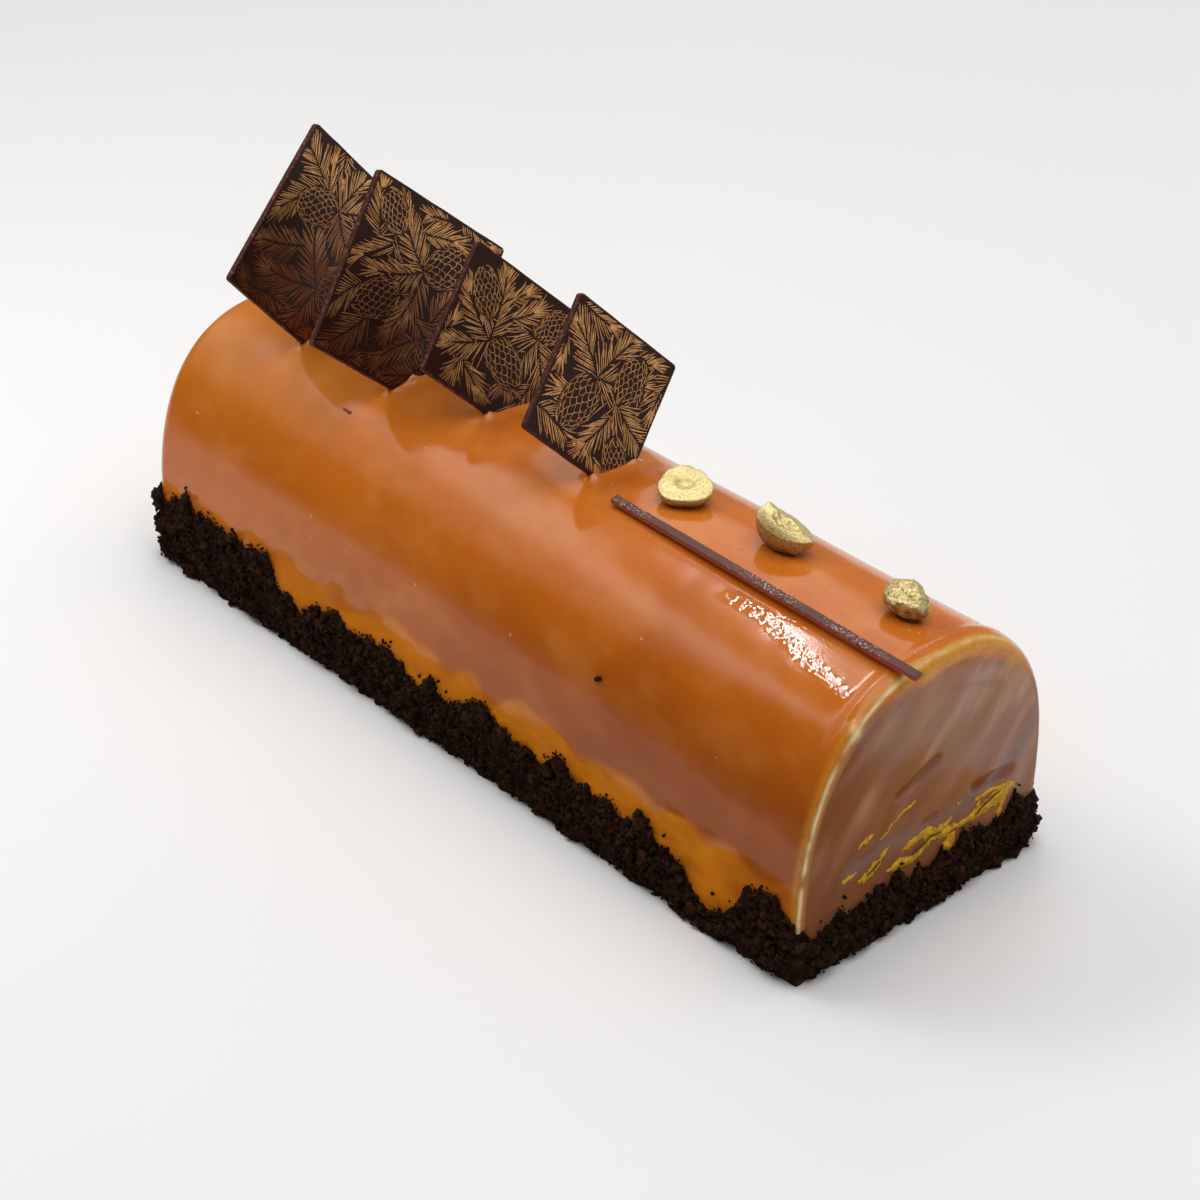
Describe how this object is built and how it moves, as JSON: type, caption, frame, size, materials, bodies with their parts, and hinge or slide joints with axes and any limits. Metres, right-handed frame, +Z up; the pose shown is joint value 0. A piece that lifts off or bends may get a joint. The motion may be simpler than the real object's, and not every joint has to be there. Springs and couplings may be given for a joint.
{
  "type": "yule log cake",
  "caption": "Half-round mousse log cake under caramel mirror glaze, with printed dark chocolate squares in its ridge, a chocolate stick, gilded hazelnut halves and a cocoa crumb border.",
  "frame": {"origin": "middle of the flat underside of the log", "axes": "+X along the log to the end with the stick, +Y across it, +Z up"},
  "size_m": [0.2517, 0.0888, 0.1224],
  "materials": {
    "caramel_glaze": "caramel mirror glaze, wet gloss over mousse",
    "printed_chocolate": "satin tempered dark chocolate with a bronze-gold cocoa butter print of pine sprigs and cones",
    "stick_chocolate": "satin dark chocolate, dusted in places",
    "gilded_hazelnut": "hazelnut brushed with edible gold dust, satin metallic",
    "cocoa_crumb": "dry cocoa cake crumbs"
  },
  "bodies": {
    "root": {"glazed_log": "caramel_glaze", "chocolate_square_1": "printed_chocolate", "chocolate_square_2": "printed_chocolate", "chocolate_square_3": "printed_chocolate", "chocolate_square_4": "printed_chocolate", "chocolate_stick": "stick_chocolate", "hazelnut_half_1": "gilded_hazelnut", "hazelnut_half_2": "gilded_hazelnut", "hazelnut_half_3": "gilded_hazelnut", "crumb_border": "cocoa_crumb"}
  },
  "joints": []
}
